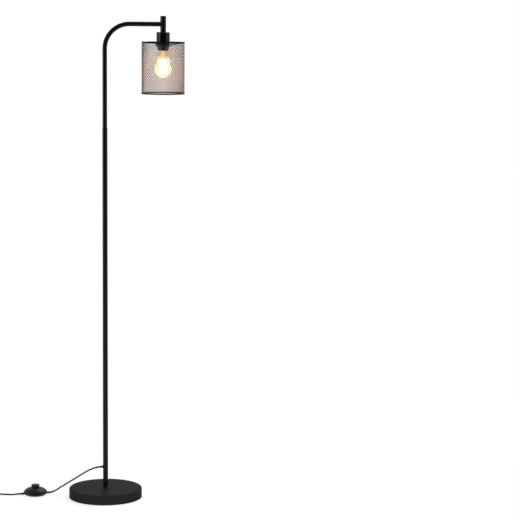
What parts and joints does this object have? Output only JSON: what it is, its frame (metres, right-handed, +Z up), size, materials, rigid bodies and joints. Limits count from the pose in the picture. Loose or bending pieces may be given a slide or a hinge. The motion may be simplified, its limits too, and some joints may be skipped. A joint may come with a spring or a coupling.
{
  "type": "wire cage floor lamp",
  "caption": "Floor lamp with a round weighted base, a straight pole bent over into an arm, a hanging wire cage shade open round a pear bulb, and a foot switch on the cord.",
  "frame": {"origin": "on the floor, on the axis of the pole, at the middle of the base's underside", "axes": "+Z up along the pole, +X from the pole towards the shade, -Y towards the viewer"},
  "size_m": [0.7897, 0.25, 1.65],
  "materials": {
    "satin_powder_coat": "smooth satin powder coat",
    "base_powder_coat": "fine satin powder coat",
    "cage_paint": "satin black paint",
    "concrete": "cast concrete",
    "felt": "pressed felt",
    "zinc_steel": "zinc plated",
    "spring_steel": "drawn wire",
    "phenolic": "moulded phenolic, semi-gloss",
    "socket_brass": "plain",
    "pin_brass": "nickel-washed",
    "cap_aluminium": "plain",
    "cap_insulator": "black glass",
    "amber_glass": "clear, faintly amber",
    "clear_glass": "clear",
    "filament": "glowing, warm",
    "cord_pvc": "smooth black PVC",
    "grommet_rubber": "moulded",
    "tie_nylon": "ribbed",
    "switch_plastic": "moulded, semi-gloss",
    "button_plastic": "moulded, semi-gloss",
    "contact_block_plastic": "moulded",
    "plug_pvc": "moulded PVC"
  },
  "bodies": {
    "lamp": {"base_cover": "base_powder_coat", "base_weight": "concrete", "base_pad": "felt", "base_washer": "zinc_steel", "base_nut": "zinc_steel", "base_nipple": "zinc_steel", "foot_collar": "satin_powder_coat", "pole_lower": "satin_powder_coat", "pole_middle": "satin_powder_coat", "pole_upper": "satin_powder_coat", "threaded_sleeves": "zinc_steel", "threaded_studs": "zinc_steel", "joint_collar": "satin_powder_coat", "arm_tube": "satin_powder_coat", "hanger_tube": "satin_powder_coat", "hanger_cap": "satin_powder_coat", "hanger_insert": "zinc_steel", "head_nipple": "zinc_steel", "cup_locknut": "zinc_steel", "socket_cup": "satin_powder_coat", "socket_body": "phenolic", "socket_screw_shell": "socket_brass", "socket_contact": "socket_brass", "shade_ring_nut": "phenolic", "shade_spider": "cage_paint", "shade_top_rim": "cage_paint", "shade_bottom_rim": "cage_paint", "shade_mesh": "cage_paint", "bulb_glass": "amber_glass", "bulb_cap": "cap_aluminium", "bulb_insulator": "cap_insulator", "bulb_contact": "socket_brass", "bulb_stem": "clear_glass", "bulb_filaments": "filament", "cord_grommet": "grommet_rubber", "inner_lead": "cord_pvc", "cord_lead": "cord_pvc", "cord_run": "cord_pvc", "cord_coil": "cord_pvc", "cord_tail": "cord_pvc", "cord_tie": "tie_nylon", "switch_base": "switch_plastic", "switch_cover": "switch_plastic", "switch_spring": "spring_steel", "switch_contact_block": "contact_block_plastic", "switch_terminals": "socket_brass", "switch_screws": "zinc_steel", "plug_boot": "plug_pvc", "plug_body": "plug_pvc", "plug_pins": "pin_brass"},
    "foot_button": {"switch_button": "button_plastic"}
  },
  "joints": [
    {"name": "button_press", "type": "slide", "parent": "lamp", "child": "foot_button", "axis": [0, 0, 1], "range_m": [-0.0035, 0], "stiffness_N_per_m": 600, "springref_m": 0.002, "deforming": ["switch_spring"]}
  ]
}
